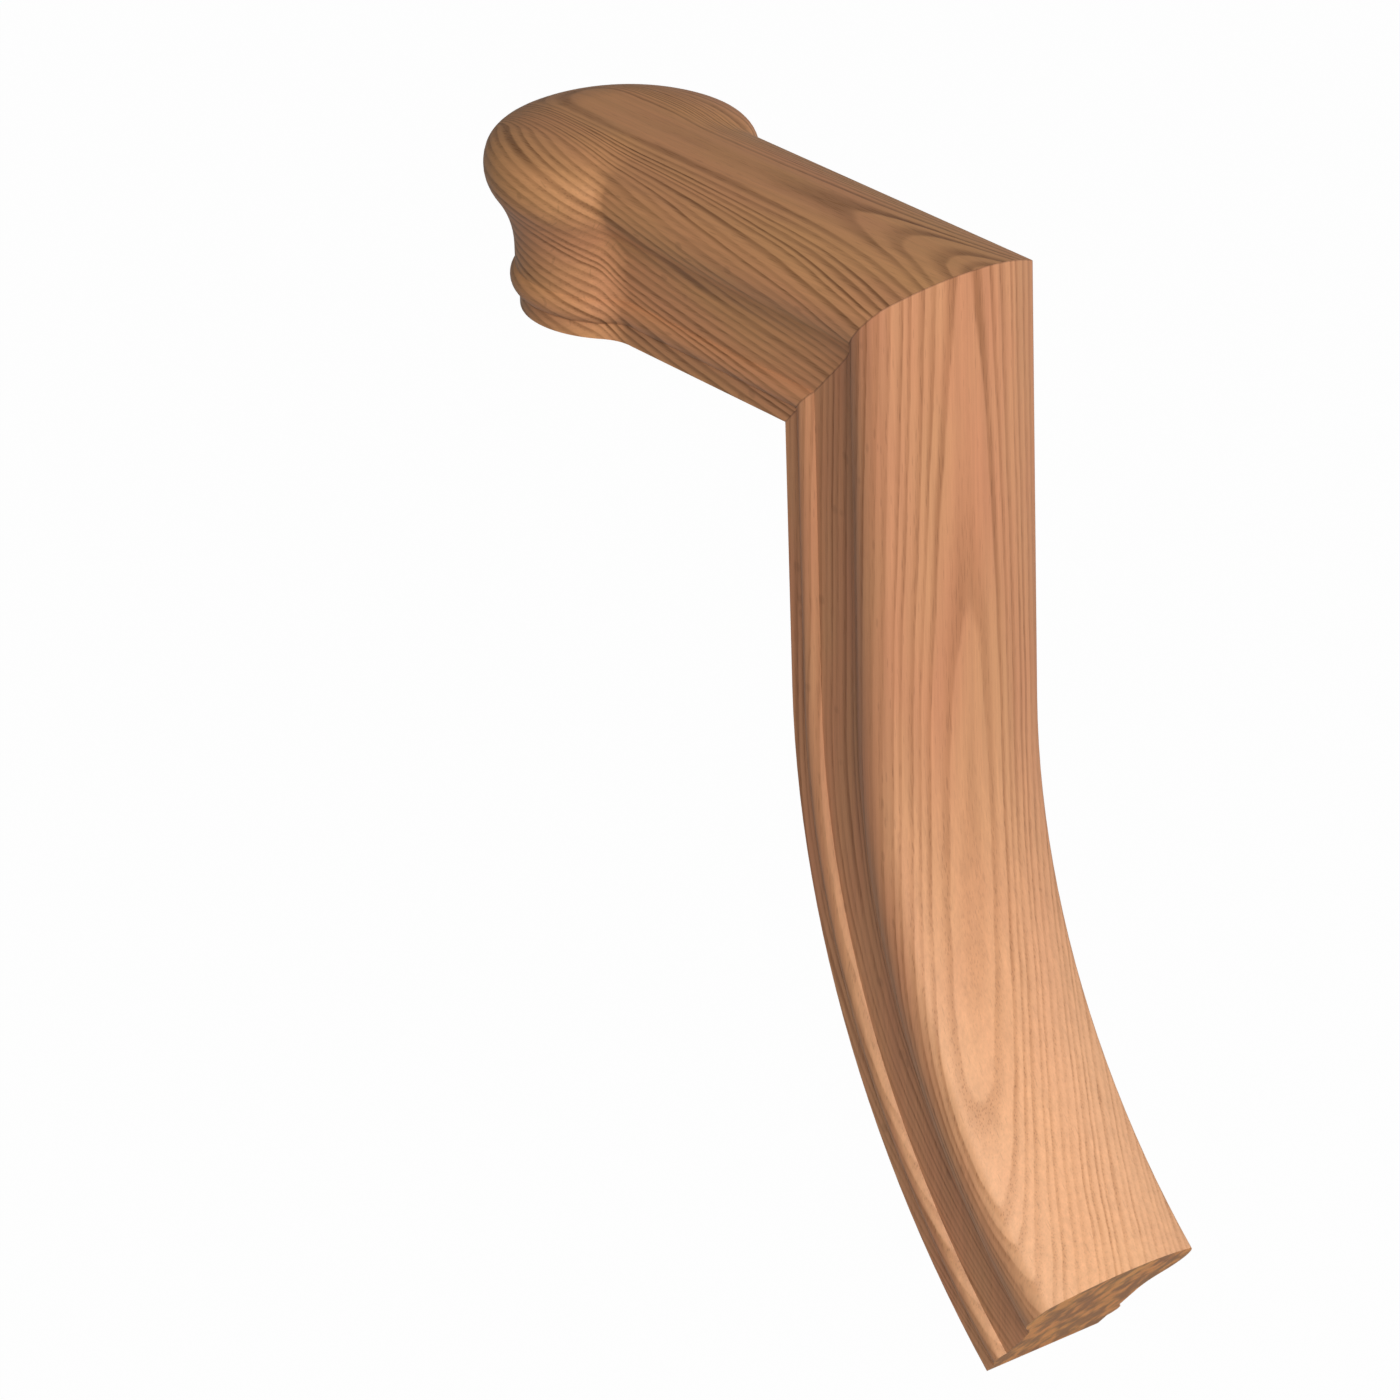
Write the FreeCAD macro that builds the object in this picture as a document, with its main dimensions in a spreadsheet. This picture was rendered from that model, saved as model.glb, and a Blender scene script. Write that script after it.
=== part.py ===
import FreeCAD, Part
import math
import os
import Sketcher
from FreeCAD import Placement, Rotation, Vector

# Handrail gooseneck in red oak: a turned newel cap on a level arm, mitred to an upright leg that eases
# into the rake of the stair rail.
# Frame: origin at the centre of the cap's underside, +Z up, +X along the arm towards the leg.
# Millimetres and degrees.

DIMENSIONS = {
    # Rail section. Heights are measured up from the underside, depths down from the crown. The cove takes
    # what is left between the side and the neck.
    "rail_width": 60.3,
    "rail_height": 60.3,
    "crown_flat": 3.0,
    "rail_crown_radius": 58.0,
    "rail_shoulder_radius": 4.0,
    "rail_side_radius": 13.0,
    "rail_widest_depth": 14.0,
    "rail_neck_width": 43.6,
    "rail_neck_length": 12.5,
    "rail_bead_width": 48.2,
    "rail_bead_height": 10.3,
    "rail_bead_radius": 4.5,
    "rail_base_width": 43.4,
    # Turned cap, with the same members as the rail. Its widths are diameters.
    "cap_width": 83.4,
    "cap_crown_radius": 52.0,
    "cap_shoulder_radius": 8.0,
    "cap_side_radius": 14.0,
    "cap_widest_depth": 15.0,
    "cap_neck_width": 66.8,
    "cap_neck_length": 6.1,
    "cap_bead_width": 70.2,
    "cap_bead_height": 9.4,
    "cap_bead_radius": 5.0,
    "cap_base_width": 64.8,
    # Throat: the hollow curve in plan where the arm's side runs into the cap's rim.
    "throat_radius": 6.0,
    # Run of the fitting along its crown line.
    "arm_length": 165.6,
    "leg_length": 145.2,
    "easing_radius": 204.5,
    "easing_angle": 47.74,
    # Bore in the cap's underside for the newel's pin.
    "pin_diameter": 19.05,
    "pin_clearance": 0.25,
    "pin_bore_depth": 25.4,
    # Dowels across the mitre. Their depths are measured down from the crown.
    "dowel_diameter": 9.5,
    "dowel_length": 38.0,
    "dowel_clearance": 0.2,
    "dowel_end_room": 1.5,
    "upper_dowel_depth": 20.0,
    "lower_dowel_depth": 42.0,
}
MITRE_ANGLE = 45.0

# Numbers by which a sketch knows the points of an edge, its own origin and its upright axis.
START, END, CENTRE = range(1, 4)
ROOT = -1
UPRIGHT = -2

doc = FreeCAD.newDocument("Gooseneck")
sheet = doc.addObject("Spreadsheet::Sheet", "Dims")
for row, (alias, value) in enumerate(DIMENSIONS.items(), start=1):
    sheet.set(f"A{row}", alias)
    sheet.set(f"B{row}", str(value))
    sheet.setAlias(f"B{row}", alias)
doc.recompute()


def dim(alias):
    """A driving dimension, read back from the sheet."""
    return float(sheet.get(alias))


# The throat's centre lies one throat radius outside both the arm's side and the cap's rim.
THROAT_Y = "(Dims.rail_width / 2 + Dims.throat_radius)"
THROAT_X = f"sqrt((Dims.cap_width / 2 + Dims.throat_radius) ^ 2 - {THROAT_Y} ^ 2)"
THROAT_ANGLE = f"atan({THROAT_Y} / {THROAT_X})"
throat_y = dim("rail_width") / 2 + dim("throat_radius")
throat_x = math.sqrt((dim("cap_width") / 2 + dim("throat_radius")) ** 2 - throat_y ** 2)
# How far the mitre's cutting triangles reach past the wood.
OVERCUT = "Dims.rail_width / 2"
overcut = dim("rail_width") / 2


def origin_plane(body, role):
    """One of a body's own origin planes."""
    return next(feature for feature in body.Origin.OriginFeatures if feature.Role == role)


def new_body(name):
    """A body whose label names its file."""
    body = doc.addObject("PartDesign::Body", name)
    body.Label = name
    return body


def new_sketch(body, name, role):
    """An empty sketch on one of the body's origin planes."""
    sketch = body.newObject("Sketcher::SketchObject", name)
    sketch.AttachmentSupport = [(origin_plane(body, role), "")]
    sketch.MapMode = "FlatFace"
    return sketch


def drive(sketch, name, expression, kind, *geometry_and_value):
    """Adds a named constraint to a sketch and ties it to the sheet."""
    index = sketch.addConstraint(Sketcher.Constraint(kind, *geometry_and_value))
    sketch.renameConstraint(index, name)
    sketch.setExpression(f"Constraints.{name}", expression)


def tie(sketch, kind, *geometry):
    """Adds a constraint that has no size."""
    sketch.addConstraint(Sketcher.Constraint(kind, *geometry))


def arc(centre, start, end):
    """The arc that runs anticlockwise from start to end about a centre."""
    circle = Part.Circle(centre, Vector(0, 0, 1), (start - centre).Length)
    start_angle = math.atan2(start.y - centre.y, start.x - centre.x)
    end_angle = math.atan2(end.y - centre.y, end.x - centre.x)
    return Part.ArcOfCircle(circle, start_angle, end_angle)


def circles_meet(centre_a, radius_a, centre_b, radius_b):
    """The meeting point of two circles to the right of the line from a to b."""
    along = centre_b - centre_a
    gap = along.Length
    along.normalize()
    reach = (radius_a ** 2 - radius_b ** 2 + gap ** 2) / (2 * gap)
    aside = math.sqrt(radius_a ** 2 - reach ** 2)
    return centre_a + along * reach + Vector(along.y, -along.x, 0) * aside


def beyond(centre, point, distance):
    """The point at a distance from a centre, on the ray through another point."""
    ray = point - centre
    ray.normalize()
    return centre + ray * distance


def moulded_half_section(sketch, kind):
    """Half of the moulded section (kind rail or cap), from its middle line out to one side.

    The middle line is the sketch's upright axis and the underside is its level axis. The outline runs over
    the crown, shoulder, side, cove, neck, bead and base, and back along the underside.
    """
    height = dim("rail_height")
    crown_radius = dim(f"{kind}_crown_radius")
    shoulder_radius = dim(f"{kind}_shoulder_radius")
    side_radius = dim(f"{kind}_side_radius")
    bead_radius = dim(f"{kind}_bead_radius")
    bead_height = dim(f"{kind}_bead_height")
    half_width = dim(f"{kind}_width") / 2
    widest_depth = dim(f"{kind}_widest_depth")
    neck = dim(f"{kind}_neck_width") / 2
    neck_length = dim(f"{kind}_neck_length")
    bead = dim(f"{kind}_bead_width") / 2
    base = dim(f"{kind}_base_width") / 2
    flat = half_width - (dim("rail_width") - dim("crown_flat")) / 2

    middle_foot = Vector(0, 0, 0)
    middle_top = Vector(0, height, 0)
    flat_end = Vector(flat, height, 0)
    crown_centre = Vector(flat, height - crown_radius, 0)
    side_centre = Vector(half_width - side_radius, height - widest_depth, 0)
    shoulder_centre = circles_meet(
        crown_centre, crown_radius - shoulder_radius, side_centre, side_radius - shoulder_radius
    )
    crown_end = beyond(crown_centre, shoulder_centre, crown_radius)
    shoulder_end = beyond(side_centre, shoulder_centre, side_radius)
    bead_centre = Vector(bead - bead_radius, bead_height, 0)
    neck_foot = Vector(neck, bead_height + math.sqrt(bead_radius ** 2 - (neck - bead_centre.x) ** 2), 0)
    neck_top = neck_foot + Vector(0, neck_length, 0)
    ogee_drop = side_centre.y - neck_top.y
    ogee_inset = half_width - neck
    ogee_radius = (ogee_drop ** 2 + ogee_inset ** 2) / (2 * ogee_inset)
    cove_centre = Vector(neck + ogee_radius - side_radius, neck_top.y, 0)
    side_end = beyond(side_centre, cove_centre, side_radius)
    base_top = Vector(base, bead_height - math.sqrt(bead_radius ** 2 - (base - bead_centre.x) ** 2), 0)
    base_foot = Vector(base, 0, 0)

    outline = {
        "flat": Part.LineSegment(middle_top, flat_end),
        "crown": arc(crown_centre, crown_end, flat_end),
        "shoulder": arc(shoulder_centre, shoulder_end, crown_end),
        "side": arc(side_centre, side_end, shoulder_end),
        "cove": arc(cove_centre, side_end, neck_top),
        "neck": Part.LineSegment(neck_top, neck_foot),
        "bead": arc(bead_centre, base_top, neck_foot),
        "base": Part.LineSegment(base_top, base_foot),
        "underside": Part.LineSegment(base_foot, middle_foot),
        "middle": Part.LineSegment(middle_foot, middle_top),
    }
    edge = {word: sketch.addGeometry(curve) for word, curve in outline.items()}

    tie(sketch, "Coincident", edge["middle"], START, ROOT, START)
    tie(sketch, "Coincident", edge["underside"], END, edge["middle"], START)
    tie(sketch, "Coincident", edge["middle"], END, edge["flat"], START)
    tie(sketch, "Tangent", edge["flat"], END, edge["crown"], END)
    tie(sketch, "Tangent", edge["crown"], START, edge["shoulder"], END)
    tie(sketch, "Tangent", edge["shoulder"], START, edge["side"], END)
    tie(sketch, "Tangent", edge["side"], START, edge["cove"], START)
    tie(sketch, "Tangent", edge["cove"], END, edge["neck"], START)
    tie(sketch, "Coincident", edge["neck"], END, edge["bead"], END)
    tie(sketch, "Coincident", edge["bead"], START, edge["base"], START)
    tie(sketch, "Coincident", edge["base"], END, edge["underside"], START)
    for word in ("middle", "neck", "base"):
        tie(sketch, "Vertical", edge[word])
    for word in ("flat", "underside"):
        tie(sketch, "Horizontal", edge[word])

    half = f"Dims.{kind}_width / 2"
    drive(sketch, "height", "Dims.rail_height",
          "DistanceY", edge["middle"], START, edge["middle"], END, height)
    drive(sketch, "flat", f"{half} - (Dims.rail_width - Dims.crown_flat) / 2",
          "DistanceX", edge["flat"], START, edge["flat"], END, flat)
    drive(sketch, "crown_radius", f"Dims.{kind}_crown_radius", "Radius", edge["crown"], crown_radius)
    drive(sketch, "shoulder_radius", f"Dims.{kind}_shoulder_radius",
          "Radius", edge["shoulder"], shoulder_radius)
    drive(sketch, "side_radius", f"Dims.{kind}_side_radius", "Radius", edge["side"], side_radius)
    drive(sketch, "side_centre", f"{half} - Dims.{kind}_side_radius",
          "DistanceX", ROOT, START, edge["side"], CENTRE, side_centre.x)
    drive(sketch, "widest_depth", f"Dims.{kind}_widest_depth",
          "DistanceY", edge["side"], CENTRE, edge["middle"], END, widest_depth)
    drive(sketch, "neck", f"Dims.{kind}_neck_width / 2",
          "DistanceX", ROOT, START, edge["neck"], START, neck)
    drive(sketch, "neck_length", f"Dims.{kind}_neck_length",
          "DistanceY", edge["neck"], END, edge["neck"], START, neck_length)
    drive(sketch, "bead_radius", f"Dims.{kind}_bead_radius", "Radius", edge["bead"], bead_radius)
    drive(sketch, "bead_centre", f"Dims.{kind}_bead_width / 2 - Dims.{kind}_bead_radius",
          "DistanceX", ROOT, START, edge["bead"], CENTRE, bead_centre.x)
    drive(sketch, "bead_height", f"Dims.{kind}_bead_height",
          "DistanceY", ROOT, START, edge["bead"], CENTRE, bead_height)
    drive(sketch, "base", f"Dims.{kind}_base_width / 2",
          "DistanceX", ROOT, START, edge["base"], START, base)


def mitre_cut(body, keep_arm):
    """Cuts a body on the 45 degree plane through the outer corner of arm and leg."""
    sketch = new_sketch(body, "MitreTriangle", "XZ_Plane")
    low = Vector(dim("arm_length") - dim("rail_height") - overcut, -overcut, 0)
    high = Vector(dim("arm_length") + overcut, dim("rail_height") + overcut, 0)
    corner = Vector(high.x, low.y, 0) if keep_arm else Vector(low.x, high.y, 0)
    slope = sketch.addGeometry(Part.LineSegment(low, high))
    upper = sketch.addGeometry(Part.LineSegment(high, corner))
    lower = sketch.addGeometry(Part.LineSegment(corner, low))
    tie(sketch, "Coincident", slope, END, upper, START)
    tie(sketch, "Coincident", upper, END, lower, START)
    tie(sketch, "Coincident", lower, END, slope, START)
    tie(sketch, "Vertical" if keep_arm else "Horizontal", upper)
    tie(sketch, "Horizontal" if keep_arm else "Vertical", lower)
    drive(sketch, "high_x", f"Dims.arm_length + {OVERCUT}", "DistanceX", ROOT, START, slope, END, high.x)
    drive(sketch, "high_z", f"Dims.rail_height + {OVERCUT}", "DistanceY", ROOT, START, slope, END, high.y)
    drive(sketch, "reach", f"Dims.rail_height + 2 * {OVERCUT}",
          "DistanceY", slope, START, slope, END, high.y - low.y)
    tie(sketch, "Equal", upper, lower)
    cut = body.newObject("PartDesign::Pocket", "MitreCut")
    cut.Profile = sketch
    cut.Type = "ThroughAll"
    cut.SideType = "Symmetric"
    doc.recompute()


def dowel_sketch(body, name, diameter, diameter_expression):
    """Two circles on the mitre plane, on the middle line, at the dowels' depths."""
    sketch = new_sketch(body, name, "YZ_Plane")
    sketch.AttachmentOffset = Placement(
        Vector(0, dim("rail_height"), dim("arm_length")), Rotation(Vector(1, 0, 0), MITRE_ANGLE)
    )
    sketch.setExpression("AttachmentOffset.Base.y", "Dims.rail_height")
    sketch.setExpression("AttachmentOffset.Base.z", "Dims.arm_length")
    for place in ("upper", "lower"):
        down = dim(f"{place}_dowel_depth") * math.sqrt(2)
        circle = sketch.addGeometry(Part.Circle(Vector(0, -down, 0), Vector(0, 0, 1), diameter / 2))
        tie(sketch, "PointOnObject", circle, CENTRE, UPRIGHT)
        drive(sketch, f"{place}_depth", f"Dims.{place}_dowel_depth * sqrt(2)",
              "DistanceY", circle, CENTRE, ROOT, START, down)
        drive(sketch, f"{place}_diameter", diameter_expression, "Diameter", circle, diameter)
    return sketch


def dowel_holes(body, into_leg):
    """Bores the body for the dowels, square to the mitre face."""
    clearance = dim("dowel_diameter") + dim("dowel_clearance")
    sketch = dowel_sketch(body, "DowelCircles", clearance, "Dims.dowel_diameter + Dims.dowel_clearance")
    holes = body.newObject("PartDesign::Pocket", "DowelHoles")
    holes.Profile = sketch
    holes.Type = "Length"
    holes.setExpression("Length", "Dims.dowel_length / 2 + Dims.dowel_end_room")
    holes.Reversed = into_leg
    doc.recompute()


def mirror_across_middle(body):
    """Completes a half body with its mirror image across the fitting's middle plane."""
    mirrored = body.newObject("PartDesign::Mirrored", "OtherSide")
    mirrored.TransformMode = "Whole shape"
    mirrored.MirrorPlane = (origin_plane(body, "XZ_Plane"), [""])
    body.Tip = mirrored
    doc.recompute()


def build_cap_and_arm():
    """Newel cap and level arm, one block: the arm's moulding sweeps round the throat into the cap's."""
    body = new_body("newel_cap_arm")

    arm_section = new_sketch(body, "ArmSection", "YZ_Plane")
    arm_section.AttachmentOffset = Placement(Vector(0, 0, throat_x), Rotation())
    arm_section.setExpression("AttachmentOffset.Base.z", THROAT_X)
    moulded_half_section(arm_section, "rail")
    doc.recompute()

    arm = body.newObject("PartDesign::Pad", "ArmSide")
    arm.Profile = arm_section
    arm.Type = "Length"
    arm.setExpression("Length", f"Dims.arm_length - {THROAT_X} + {OVERCUT}")
    doc.recompute()

    cap_section = new_sketch(body, "CapSection", "XZ_Plane")
    throat_angle = math.degrees(math.atan2(throat_y, throat_x))
    cap_section.AttachmentOffset = Placement(Vector(), Rotation(Vector(0, 1, 0), throat_angle))
    cap_section.setExpression("AttachmentOffset.Rotation.Angle", THROAT_ANGLE)
    moulded_half_section(cap_section, "cap")
    doc.recompute()

    throat_path = new_sketch(body, "ThroatPath", "XY_Plane")
    throat_centre = Vector(throat_x, throat_y, 0)
    rim_end = beyond(Vector(), throat_centre, dim("cap_width") / 2)
    arm_end = Vector(throat_x, dim("rail_width") / 2, 0)
    curve = throat_path.addGeometry(arc(throat_centre, rim_end, arm_end))
    drive(throat_path, "centre_x", THROAT_X, "DistanceX", ROOT, START, curve, CENTRE, throat_x)
    drive(throat_path, "centre_y", THROAT_Y, "DistanceY", ROOT, START, curve, CENTRE, throat_y)
    drive(throat_path, "radius", "Dims.throat_radius", "Radius", curve, dim("throat_radius"))
    tie(throat_path, "Vertical", curve, CENTRE, curve, END)
    centre_line = throat_path.addGeometry(Part.LineSegment(Vector(), throat_centre), True)
    tie(throat_path, "Coincident", centre_line, START, ROOT, START)
    tie(throat_path, "Coincident", centre_line, END, curve, CENTRE)
    tie(throat_path, "PointOnObject", curve, START, centre_line)
    doc.recompute()

    throat = body.newObject("PartDesign::AdditivePipe", "Throat")
    throat.Profile = cap_section
    throat.Spine = (throat_path, ["Edge1"])
    throat.Sections = [(arm_section, [""])]
    throat.Transformation = "Multisection"
    doc.recompute()

    # The sweep's inner wall bows past the middle plane, so the half body is trimmed there.
    trim_window = new_sketch(body, "TrimWindow", "XZ_Plane")
    corners = [
        Vector(-overcut, -overcut, 0),
        Vector(throat_x, -overcut, 0),
        Vector(throat_x, dim("rail_height") + overcut, 0),
        Vector(-overcut, dim("rail_height") + overcut, 0),
    ]
    sides = [
        trim_window.addGeometry(Part.LineSegment(corner, corners[(index + 1) % len(corners)]))
        for index, corner in enumerate(corners)
    ]
    for index, side in enumerate(sides):
        tie(trim_window, "Coincident", side, END, sides[(index + 1) % len(sides)], START)
        tie(trim_window, "Vertical" if index % 2 else "Horizontal", side)
    drive(trim_window, "near_x", OVERCUT, "DistanceX", sides[0], START, ROOT, START, overcut)
    drive(trim_window, "near_z", OVERCUT, "DistanceY", sides[0], START, ROOT, START, overcut)
    drive(trim_window, "width", f"{THROAT_X} + {OVERCUT}",
          "DistanceX", sides[0], START, sides[0], END, throat_x + overcut)
    drive(trim_window, "height", f"Dims.rail_height + 2 * {OVERCUT}",
          "DistanceY", sides[1], START, sides[1], END, dim("rail_height") + 2 * overcut)
    trim = body.newObject("PartDesign::Pocket", "MiddleTrim")
    trim.Profile = trim_window
    trim.Type = "ThroughAll"
    trim.Reversed = True
    doc.recompute()

    turning = body.newObject("PartDesign::Revolution", "CapTurning")
    turning.Profile = cap_section
    turning.ReferenceAxis = (cap_section, ["V_Axis"])
    turning.setExpression("Angle", f"180 deg - {THROAT_ANGLE}")
    doc.recompute()

    mirror_across_middle(body)
    mitre_cut(body, keep_arm=True)
    dowel_holes(body, into_leg=False)

    pin_circle = new_sketch(body, "PinCircle", "XY_Plane")
    bore = dim("pin_diameter") + dim("pin_clearance")
    circle = pin_circle.addGeometry(Part.Circle(Vector(), Vector(0, 0, 1), bore / 2))
    tie(pin_circle, "Coincident", circle, CENTRE, ROOT, START)
    drive(pin_circle, "bore", "Dims.pin_diameter + Dims.pin_clearance", "Diameter", circle, bore)
    pin_bore = body.newObject("PartDesign::Pocket", "PinBore")
    pin_bore.Profile = pin_circle
    pin_bore.Type = "Length"
    pin_bore.setExpression("Length", "Dims.pin_bore_depth")
    pin_bore.Reversed = True
    doc.recompute()
    return body


def build_leg_and_easing():
    """Upright leg and lower easing, one piece: the rail section runs straight down, then round the easing."""
    body = new_body("leg_easing")

    leg_section = new_sketch(body, "LegSection", "XY_Plane")
    leg_section.AttachmentOffset = Placement(
        Vector(dim("arm_length") - dim("rail_height"), 0, dim("rail_height") - dim("leg_length")),
        Rotation(Vector(0, 0, 1), -90),
    )
    leg_section.setExpression("AttachmentOffset.Base.x", "Dims.arm_length - Dims.rail_height")
    leg_section.setExpression("AttachmentOffset.Base.z", "Dims.rail_height - Dims.leg_length")
    moulded_half_section(leg_section, "rail")
    pivot_height = dim("rail_height") + dim("easing_radius")
    pivot = leg_section.addGeometry(
        Part.LineSegment(Vector(0, pivot_height, 0), Vector(dim("rail_width"), pivot_height, 0)), True
    )
    tie(leg_section, "Horizontal", pivot)
    tie(leg_section, "PointOnObject", pivot, START, UPRIGHT)
    drive(leg_section, "pivot", "Dims.rail_height + Dims.easing_radius",
          "DistanceY", ROOT, START, pivot, START, pivot_height)
    drive(leg_section, "pivot_length", "Dims.rail_width",
          "DistanceX", pivot, START, pivot, END, dim("rail_width"))
    doc.recompute()

    leg = body.newObject("PartDesign::Pad", "LegSide")
    leg.Profile = leg_section
    leg.Type = "Length"
    leg.setExpression("Length", f"Dims.leg_length + {OVERCUT}")
    doc.recompute()

    easing = body.newObject("PartDesign::Revolution", "EasingSide")
    easing.Profile = leg_section
    easing.ReferenceAxis = (leg_section, ["Axis0"])
    easing.setExpression("Angle", "Dims.easing_angle")
    doc.recompute()

    mirror_across_middle(body)
    mitre_cut(body, keep_arm=False)
    dowel_holes(body, into_leg=True)
    return body


def build_dowels():
    """Two dowels that cross the mitre, half their length in each piece."""
    body = new_body("mitre_dowels")
    body.AllowCompound = True
    sketch = dowel_sketch(body, "DowelSections", dim("dowel_diameter"), "Dims.dowel_diameter")
    pins = body.newObject("PartDesign::Pad", "Pins")
    pins.Profile = sketch
    pins.Type = "Length"
    pins.SideType = "Symmetric"
    pins.setExpression("Length", "Dims.dowel_length")
    doc.recompute()
    return body


bodies = [build_cap_and_arm(), build_leg_and_easing(), build_dowels()]
doc.recompute()

for item in doc.Objects:
    if "Invalid" in item.State or "Error" in item.State:
        raise RuntimeError(f"{item.Name} failed: {item.State}")
for body in bodies:
    if body.Shape.isNull() or not body.Shape.isValid():
        raise RuntimeError(f"{body.Label} has no valid shape")

os.makedirs("parts", exist_ok=True)
for body in bodies:
    body.Shape.exportStep(f"parts/{body.Label}.step")
    print(body.Label, len(body.Shape.Solids), "solids", round(body.Shape.Volume), "mm3")
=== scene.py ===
import math

import bpy
from mathutils import Matrix, Vector


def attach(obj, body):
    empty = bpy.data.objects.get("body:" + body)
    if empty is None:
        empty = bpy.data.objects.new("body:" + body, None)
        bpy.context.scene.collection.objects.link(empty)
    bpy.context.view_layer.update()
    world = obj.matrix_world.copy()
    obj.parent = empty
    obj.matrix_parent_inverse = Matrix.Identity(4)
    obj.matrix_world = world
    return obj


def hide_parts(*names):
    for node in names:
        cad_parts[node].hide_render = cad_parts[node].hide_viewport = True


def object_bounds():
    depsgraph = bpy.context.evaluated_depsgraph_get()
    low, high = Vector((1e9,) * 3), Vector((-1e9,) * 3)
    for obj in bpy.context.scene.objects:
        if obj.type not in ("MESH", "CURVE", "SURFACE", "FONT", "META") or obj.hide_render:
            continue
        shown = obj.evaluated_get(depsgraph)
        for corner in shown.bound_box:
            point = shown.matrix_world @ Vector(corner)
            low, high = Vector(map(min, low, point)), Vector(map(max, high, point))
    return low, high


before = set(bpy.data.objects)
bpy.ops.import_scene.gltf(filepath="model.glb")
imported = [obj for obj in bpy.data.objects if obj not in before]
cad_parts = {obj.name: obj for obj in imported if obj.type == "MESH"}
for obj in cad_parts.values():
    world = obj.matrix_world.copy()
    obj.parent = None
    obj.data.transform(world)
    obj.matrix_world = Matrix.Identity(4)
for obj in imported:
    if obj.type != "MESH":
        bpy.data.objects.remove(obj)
cad_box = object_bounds()

# Newel cap and level arm: one block of red oak, the cap turned and the arm moulded, its grain running
# along the arm and on through the cap. Sanded smooth under a thin satin sealer.


class Grain:
    """A number carried through a material's nodes: arithmetic on it adds Math nodes."""

    def __init__(self, tree, socket):
        self.tree = tree
        self.socket = socket

    def node(self, kind, settings, sockets):
        """A new node with its settings, and then the values or links of its sockets."""
        made = self.tree.nodes.new(kind)
        for name, value in settings.items():
            setattr(made, name, value)
        for name, value in sockets.items():
            if isinstance(value, Grain):
                self.tree.links.new(value.socket, made.inputs[name])
            else:
                made.inputs[name].default_value = value
        return made

    def take(self, kind, settings, sockets, output):
        """One output of a new node."""
        return Grain(self.tree, self.node(kind, settings, sockets).outputs[output])

    def math(self, operation, first, second=0.0):
        """One Math node on one or two numbers."""
        return self.take("ShaderNodeMath", {"operation": operation}, {0: first, 1: second}, 0)

    def __add__(self, other):
        return self.math("ADD", self, other)

    def __radd__(self, other):
        return self.math("ADD", other, self)

    def __sub__(self, other):
        return self.math("SUBTRACT", self, other)

    def __rsub__(self, other):
        return self.math("SUBTRACT", other, self)

    def __mul__(self, other):
        return self.math("MULTIPLY", self, other)

    def __rmul__(self, other):
        return self.math("MULTIPLY", other, self)

    def __truediv__(self, other):
        return self.math("DIVIDE", self, other)

    def __pow__(self, other):
        return self.math("POWER", self, other)

    def __abs__(self):
        return self.math("ABSOLUTE", self)

    def fade(self, low, high):
        """0 below low and 1 above high, eased between them. High may be the lower one."""
        settings = {"interpolation_type": "SMOOTHSTEP"}
        sockets = {"Value": self, "From Min": low, "From Max": high, "To Min": 0.0, "To Max": 1.0}
        return self.take("ShaderNodeMapRange", settings, sockets, "Result")

    def vector(self, x, y, z):
        """Three numbers as one vector."""
        return self.take("ShaderNodeCombineXYZ", {}, {"X": x, "Y": y, "Z": z}, "Vector")

    def noise(self, place, detail=2.0, roughness=0.5):
        """Smooth noise about zero, from -0.5 to 0.5, one unit across."""
        sockets = {"Vector": place, "Scale": 1.0, "Detail": detail, "Roughness": roughness}
        return self.take("ShaderNodeTexNoise", {}, sockets, "Fac") - 0.5

    def cells(self, place):
        """Distance to the nearest of scattered points, about one to each unit cell."""
        sockets = {"Vector": place, "Scale": 1.0}
        return self.take("ShaderNodeTexVoronoi", {"feature": "F1"}, sockets, "Distance")

    def dot(self, first, second):
        """How far one direction points along another."""
        settings = {"operation": "DOT_PRODUCT"}
        return self.take("ShaderNodeVectorMath", settings, {0: first, 1: second}, "Value")

    def blend(self, mask, first, second, kind="MIX"):
        """The first colour where the mask is 0 and the second where it is 1."""
        settings = {"data_type": "RGBA", "blend_type": kind}
        mix = self.node("ShaderNodeMix", settings, {})
        for index, value in ((0, mask), (6, first), (7, second)):
            if isinstance(value, Grain):
                self.tree.links.new(value.socket, mix.inputs[index])
            else:
                mix.inputs[index].default_value = value if index == 0 else (*value, 1.0)
        return Grain(self.tree, mix.outputs[2])


# The mitre's upper edge: how far it lies along the arm, and how high, in millimetres.
arm_length = 165.6
rail_height = 60.3


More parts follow.
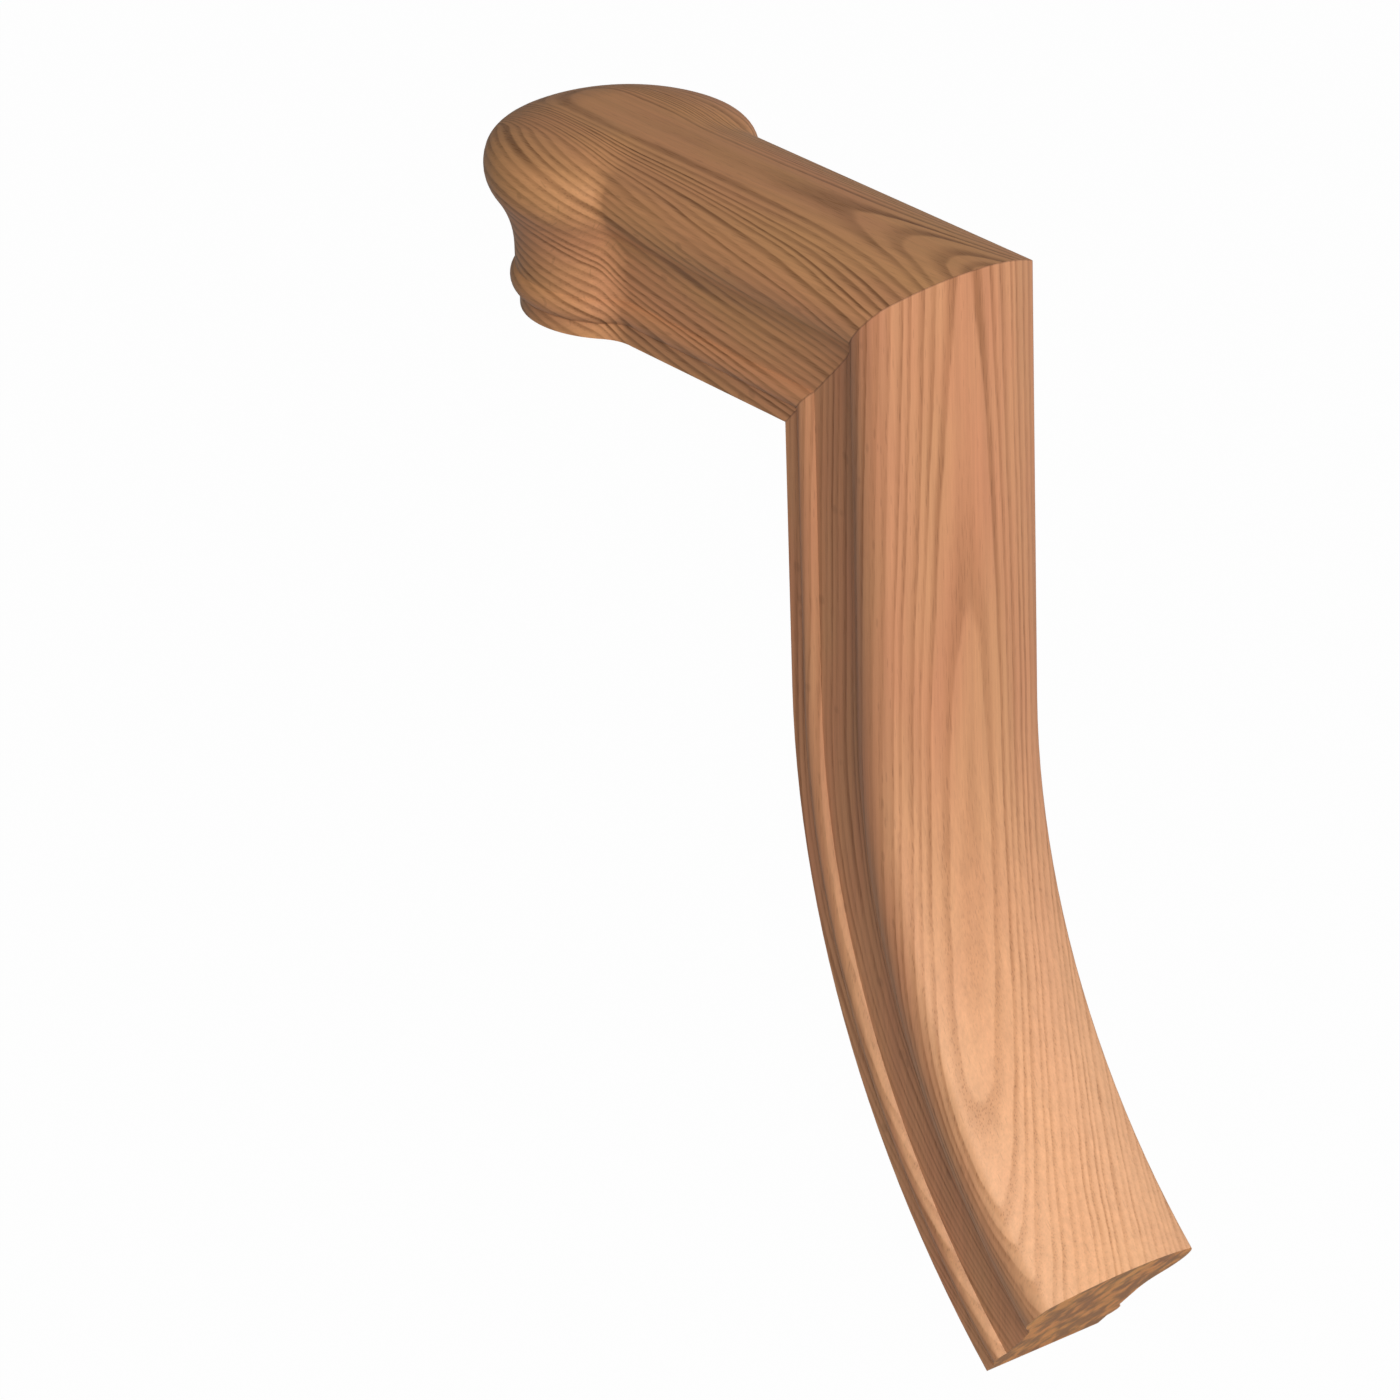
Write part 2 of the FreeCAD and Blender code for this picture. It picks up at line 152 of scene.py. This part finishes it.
def red_oak(
    name, upright, pitch, pith, lean, bow_from, bow, dive, contrast, early, late, pink, painted_sheen, cut,
):
    """Solid red oak: rings round a pith beside the piece, pores in the early wood, rays and fine fibre.

    The grain runs along Z if upright and along X if not. Lengths are in millimetres. Pitch is the mean width
    of a ring. The pith is a line given across the rail and towards the crown, with its lean along the grain
    and its bow past one place on it. Dive sinks the rings of the sides towards the mitre. Contrast is the
    strength of the early wood's lines, and early, late and pink are the colours of the lines and of the wood
    between them. The painted sheen is given by where along the grain it starts to lighten the wood, where
    the wood is lightest, and by how much. Cut is the outward direction of the end grain, shorter than one
    where the end is sanded fine.
    """
    # Painted sheen: the paler wood and paler lines that the crown is blended towards where a lamp's sheen
    # would fall.
    sheen_wood = (0.86, 0.47, 0.25)
    sheen_lines = (0.62, 0.30, 0.14)
    pore_dark = tuple(0.6 * channel for channel in early)
    wet_patch = (0.78, 0.80, 0.74)
    dry_patch = (1.60, 1.55, 1.10)
    material = bpy.data.materials.new(name)
    material.use_nodes = True
    tree = material.node_tree
    tree.nodes.clear()
    start = Grain(tree, None)
    place = start.take("ShaderNodeTexCoord", {}, {}, "Object")
    axes = start.node("ShaderNodeSeparateXYZ", {}, {"Vector": place})
    x, y, z = (Grain(tree, axes.outputs[index]) * 1000.0 for index in range(3))
    along, across, depth = (z, y, x) if upright else (x, y, z)

    def drawn(lengthwise, crosswise):
        """A place in cells drawn out along the grain, so many to the millimetre along and across it."""
        return start.vector(along * lengthwise, across * crosswise, depth * crosswise)

    # Rings: distance from the pith, which wanders, leans and bows, in rings of uneven width.
    wander = start.noise(drawn(0.007, 0.02), 1.0) * 4.0
    ripple = start.noise(drawn(0.02, 0.09), 2.0) * 1.5
    past = bow_from - along if upright else along - bow_from
    bent = start.math("MAXIMUM", past, 0.0) ** 2.0
    side = across - pith[0] - along * lean[0] - bent * bow[0]
    rise = depth - pith[1] - along * lean[1] - bent * bow[1]
    short = arm_length - along
    on_side = abs(across).fade(9.0, 27.0)
    rise = rise - (short * dive[0] + short * short * dive[1]) * on_side
    ring = ((side * side + rise * rise) ** 0.5 + wander + ripple) / pitch
    ring = ring + start.noise(start.vector(ring * 0.35, 0.0, 0.0), 1.0) * 1.8
    count = start.math("FLOOR", ring)
    turn = ring - count
    chance = start.take("ShaderNodeTexWhiteNoise", {"noise_dimensions": "1D"}, {"W": count}, "Value")
    strength = start.noise(drawn(0.012, 0.12), 1.0) * 1.3 + 0.75
    early_wood = turn.fade(0.0, 0.16) * turn.fade(0.75, 0.20) * (0.40 + 0.60 * chance) * strength

    # Fibre, pores and rays, all drawn out along the grain.
    fibre = start.noise(drawn(0.02, 1.3), 3.0, 0.6)
    broad_fibre = start.noise(drawn(0.008, 0.4), 2.0)
    pore = start.cells(drawn(0.11, 1.7)).fade(0.42, 0.20)
    pore = pore * (0.12 + 0.88 * early_wood)
    ray = start.cells(start.vector(along * 0.09, across * 1.1, depth * 0.10)).fade(0.20, 0.10)

    # End grain, the glue line of the mitre, a hair wide, and the sides, where the painted sheen is held back
    # so that they stay darker than the crown, as painted shade.
    facing = start.take("ShaderNodeTexCoord", {}, {}, "Normal")
    end_grain = start.dot(facing, cut).fade(0.82, 0.98)
    seam = abs((x - arm_length) - (z - rail_height)).fade(0.55, 0.15)
    sides_without_sheen = abs(start.dot(facing, (0.0, 1.0, 0.0))).fade(0.85, 1.0)

    # Colour: the wood, its lines and its pores, and a painted sheen that lightens the crown towards the foot
    # of the easing. End grain drinks the sealer in patches.
    tone = start.noise(drawn(0.012, 0.05), 2.0).fade(-0.22, 0.22)
    # Painted sheen: lighter along the grain towards the foot of the easing, held back on end grain and on
    # the sides.
    sheen_mask = along.fade(painted_sheen[0], painted_sheen[1]) * painted_sheen[2] * (1.0 - end_grain * 0.8)
    sheen_mask = sheen_mask * (1.0 - sides_without_sheen * 0.9)
    colour = start.blend(sheen_mask, start.blend(tone, late, pink), sheen_wood)
    lines = start.blend(sheen_mask, early, sheen_lines)
    colour = start.blend(early_wood * (contrast - end_grain * 0.35), colour, lines)
    colour = start.blend(pore * 0.45, colour, pore_dark)
    blotch = start.noise(start.vector(along * 0.12, across * 0.18, depth * 0.12), 3.0).fade(-0.12, 0.12)
    colour = start.blend(end_grain, colour, start.blend(blotch, wet_patch, dry_patch), "MULTIPLY")
    shade = (1.0 + fibre * 0.28 + broad_fibre * 0.26) * (1.0 - ray * 0.14) * (1.0 - seam * 0.30)
    colour = start.blend(1.0, colour, start.vector(shade, shade, shade), "MULTIPLY")

    # Surface: a thin sealer, duller in the pores and on end grain, over pores that lie a little low.
    roughness = 0.52 + fibre * 0.16 + pore * 0.16 + end_grain * 0.14
    height = fibre * 0.35 - pore * 1.0 - early_wood * 0.25 - seam * 1.2
    relief = {"Strength": 0.35, "Distance": 0.00012, "Height": height}
    sockets = {
        "Base Color": colour,
        "Roughness": roughness,
        "Normal": start.take("ShaderNodeBump", {}, relief, "Normal"),
        "IOR": 1.5,
        "Specular IOR Level": 0.28,
    }
    wood = start.take("ShaderNodeBsdfPrincipled", {}, sockets, "BSDF")
    start.node("ShaderNodeOutputMaterial", {}, {"Surface": wood})
    return material


def dress(node_name, piece_name, material):
    """A merged copy of a solid, with its tangent faces shaded as one and its arrises sharp."""
    merge_gap = 0.000005
    arris_angle = math.radians(28.0)
    mesh = bpy.data.meshes.new_from_object(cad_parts[node_name])
    mesh.name = piece_name
    piece = bpy.data.objects.new(piece_name, mesh)
    bpy.context.scene.collection.objects.link(piece)
    bpy.ops.object.select_all(action="DESELECT")
    piece.select_set(True)
    bpy.context.view_layer.objects.active = piece
    bpy.ops.mesh.customdata_custom_splitnormals_clear()
    bpy.ops.object.mode_set(mode="EDIT")
    bpy.ops.mesh.select_all(action="SELECT")
    bpy.ops.mesh.remove_doubles(threshold=merge_gap)
    bpy.ops.object.mode_set(mode="OBJECT")
    bpy.ops.object.shade_smooth_by_angle(angle=arris_angle)
    piece.data.materials.clear()
    piece.data.materials.append(material)
    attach(piece, "root")
    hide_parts(node_name)


cap_oak = red_oak(
    "cap_oak", upright=False, pitch=3.0, pith=(3.0, 92.0), lean=(0.0, -0.02), bow_from=100.0,
    bow=(0.0, -0.0016), dive=(0.085, 0.0005),
    contrast=0.95, early=(0.180, 0.074, 0.026), late=(0.615, 0.305, 0.128), pink=(0.615, 0.280, 0.134),
    painted_sheen=(0.0, 1.0, 0.0), cut=(-0.9, 0.0, 0.0),
)
dress("newel_cap_arm", "newel_cap_arm_oak", cap_oak)

# Leg and easing: one piece of red oak sawn from a thick blank, moulded like the rail, its grain upright
# all the way down through the curve. Glued to the arm on a 45 degree mitre.
leg_oak = red_oak(
    "leg_oak", upright=True, pitch=2.9, pith=(-3.5, 181.0), lean=(0.01, 0.04), bow_from=-85.0,
    bow=(-0.0019, 0.0027), dive=(0.0, 0.0),
    contrast=0.90, early=(0.320, 0.130, 0.055), late=(0.585, 0.283, 0.138), pink=(0.585, 0.252, 0.130),
    # Painted sheen on the leg: the crown grows lighter from z = -40 mm down to z = -240 mm, at the foot of
    # the easing.
    painted_sheen=(-40.0, -240.0, 0.75), cut=(0.74009, 0.0, -0.6725),
)
dress("leg_easing", "leg_easing_oak", leg_oak)

# Dowels: two plain turned birch pins, left unfinished. They cross the mitre out of sight, glued half into
# each piece.
birch = bpy.data.materials.new("birch")
birch.use_nodes = True
birch.node_tree.nodes.clear()
pin = Grain(birch.node_tree, None)
pin_place = pin.take("ShaderNodeTexCoord", {}, {}, "Object")
pin_slant = (0.0, math.radians(45.0), 0.0)
pin_sockets = {"Vector": pin_place, "Rotation": pin_slant, "Scale": (60.0, 1400.0, 1400.0)}
pin_grain = pin.noise(pin.take("ShaderNodeMapping", {}, pin_sockets, "Vector"), 3.0)
pin_colour = pin.blend(pin_grain.fade(-0.25, 0.25), (0.60, 0.42, 0.24), (0.70, 0.53, 0.33))
pin_shader = {"Base Color": pin_colour, "Roughness": 0.6 + pin_grain * 0.2}
pin_wood = pin.take("ShaderNodeBsdfPrincipled", {}, pin_shader, "BSDF")
pin.node("ShaderNodeOutputMaterial", {}, {"Surface": pin_wood})
dress("mitre_dowels", "mitre_dowels_birch", birch)

# Studio: a white floor just under the lowest arris, and a white surround. Both look white to the camera but
# throw little light on the wood, which is lit by the lamps.
floor_gap = 0.0005
floor_size = 14.0
floor_grey = (0.33, 0.33, 0.33, 1.0)
white = (1.0, 1.0, 1.0, 1.0)
floor_height = cad_box[0][2] - floor_gap
bpy.ops.object.select_all(action="DESELECT")
bpy.ops.mesh.primitive_plane_add(size=floor_size, location=(0.0, 0.0, floor_height))
floor = bpy.context.object
floor.name = "studio_floor"
floor_white = bpy.data.materials.new("floor_white")
floor_white.use_nodes = True
floor_white.node_tree.nodes.clear()
paper = Grain(floor_white.node_tree, None)
sheet = paper.take("ShaderNodeBsdfDiffuse", {}, {"Color": floor_grey}, "BSDF")
glow = paper.take("ShaderNodeEmission", {}, {"Color": white, "Strength": 1.0}, "Emission")
ray_kind = paper.node("ShaderNodeLightPath", {}, {})
seen = Grain(floor_white.node_tree, ray_kind.outputs["Is Camera Ray"])
mirrored = Grain(floor_white.node_tree, ray_kind.outputs["Is Glossy Ray"])
bright = seen * 0.985 + mirrored * 0.45
paper.node("ShaderNodeOutputMaterial", {}, {
    "Surface": paper.take("ShaderNodeMixShader", {}, {0: bright, 1: sheet, 2: glow}, "Shader"),
})
floor.data.materials.append(floor_white)

world = bpy.data.worlds.new("studio_air")
bpy.context.scene.world = world
world.use_nodes = True
world.node_tree.nodes.clear()
air = Grain(world.node_tree, None)
air_ray = air.node("ShaderNodeLightPath", {}, {})
air_seen = Grain(world.node_tree, air_ray.outputs["Is Camera Ray"])
air_mirrored = Grain(world.node_tree, air_ray.outputs["Is Glossy Ray"])
air_light = {"Color": white, "Strength": 0.09 + air_seen * 0.91 + air_mirrored * 0.25}
air.node("ShaderNodeOutputWorld", {}, {
    "Surface": air.take("ShaderNodeBackground", {}, air_light, "Background"),
})

# Lamps: one wide soft box beside the camera, which lights the leg's outer face and the easing and grazes
# the top of the arm, and a weaker one on the far side of the leg.
aim = Vector((0.12, 0.0, -0.08))


def soft_box(name, azimuth, elevation, distance, size, power):
    """A square lamp that faces the fitting. Azimuth turns from +X towards +Y."""
    lamp = bpy.data.lights.new(name, "AREA")
    lamp.size = size
    lamp.energy = power
    stand = bpy.data.objects.new(name, lamp)
    bpy.context.scene.collection.objects.link(stand)
    flat = math.cos(math.radians(elevation))
    toward = Vector((
        flat * math.cos(math.radians(azimuth)),
        flat * math.sin(math.radians(azimuth)),
        math.sin(math.radians(elevation)),
    ))
    stand.location = aim + toward * distance
    stand.rotation_euler = toward.to_track_quat("Z", "Y").to_euler()


soft_box("key", azimuth=-28.0, elevation=28.0, distance=2.0, size=1.6, power=44.0)
soft_box("rim", azimuth=60.0, elevation=15.0, distance=2.0, size=1.4, power=13.0)

# Camera: a long lens, raised above the fitting and turned to the photograph's corner view. It is placed from
# the middle of the mitre's upper edge.
azimuth = math.radians(53.327)
elevation = math.radians(25.796)
roll = math.radians(-1.855)
right = Vector((math.cos(azimuth), math.sin(azimuth), 0.0))
back = Vector((
    math.sin(azimuth) * math.cos(elevation),
    -math.cos(azimuth) * math.cos(elevation),
    math.sin(elevation),
))
up = back.cross(right)
level_right = right * math.cos(roll) + up * math.sin(roll)
level_up = up * math.cos(roll) - right * math.sin(roll)
camera_data = bpy.data.cameras.new("camera")
camera_data.sensor_width = 36.0
camera_data.lens = 191.15
camera = bpy.data.objects.new("camera", camera_data)
bpy.context.scene.collection.objects.link(camera)
mitre_top = Vector((arm_length, 0.0, rail_height)) / 1000.0
left_of_mitre = 0.076915
below_mitre = 0.121441
away = 2.103146
stand_point = mitre_top - level_right * left_of_mitre - level_up * below_mitre + back * away
turned = Matrix((level_right, level_up, back)).transposed()
camera.matrix_world = Matrix.Translation(stand_point) @ turned.to_4x4()
bpy.context.scene.camera = camera
bpy.context.scene.view_settings.view_transform = "Standard"
